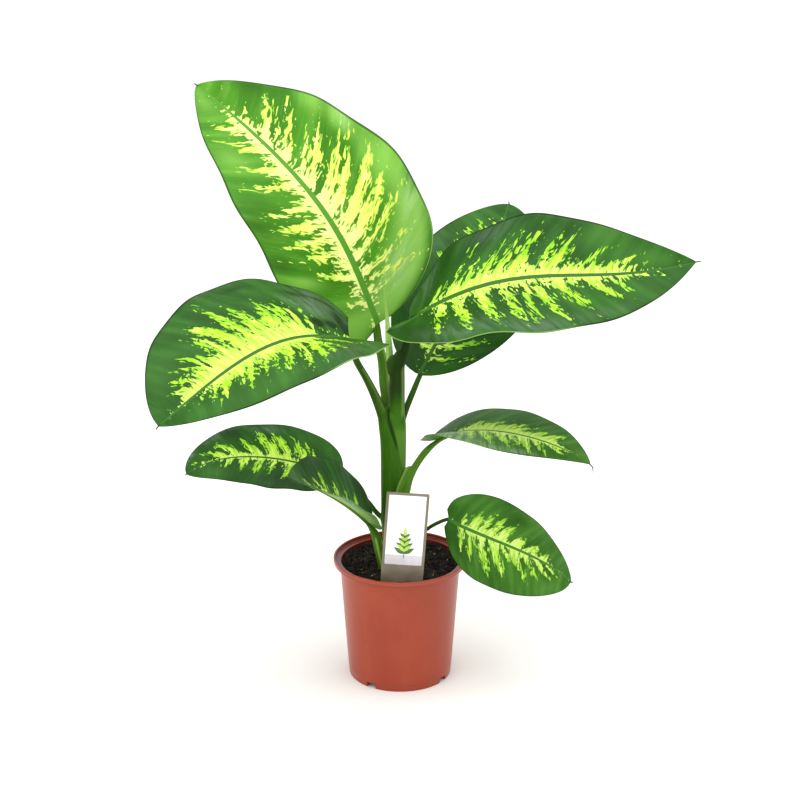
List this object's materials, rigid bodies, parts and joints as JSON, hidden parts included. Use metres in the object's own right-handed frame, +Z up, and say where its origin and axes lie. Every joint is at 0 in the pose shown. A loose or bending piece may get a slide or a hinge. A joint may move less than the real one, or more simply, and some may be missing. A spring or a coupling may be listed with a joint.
{
  "type": "potted dieffenbachia",
  "caption": "Variegated dieffenbachia with a thick sheathed cane, broad arching leaves and a rolled new leaf, standing in dark soil in a brick-red plastic nursery pot with a blank plant label.",
  "frame": {"origin": "middle of the pot's centre foot, on the floor", "axes": "+Z up along the pot's axis; -Y towards the plant label and the camera; +X to the right as seen from there"},
  "size_m": [0.6454, 0.5262, 0.7421],
  "materials": {
    "pot_plastic": "satin brick red, thin injection-moulded",
    "soil": "moist dark peat, crumbly",
    "stem_green": "smooth fleshy cane and sheaths, soft sheen",
    "leaf_bright": "young blade, bright green with cream-yellow streaks along the side veins, soft gloss",
    "leaf_dark": "mature blade, dark green with lime streaks along the side veins, soft gloss",
    "spear_green": "tender rolled blade, light green",
    "label_card": "printed plastic tag, off-white panel with a taupe border"
  },
  "bodies": {
    "root": {"pot": "pot_plastic", "soil": "soil", "stem": "stem_green", "leaf_top_left": "leaf_bright", "leaf_right": "leaf_dark", "leaf_back_right": "leaf_dark", "leaf_left": "leaf_dark", "leaf_lower_left_back": "leaf_dark", "leaf_lower_left_front": "leaf_dark", "leaf_small_right": "leaf_dark", "leaf_low_right": "leaf_dark", "spear": "spear_green", "label": "label_card"}
  },
  "joints": []
}
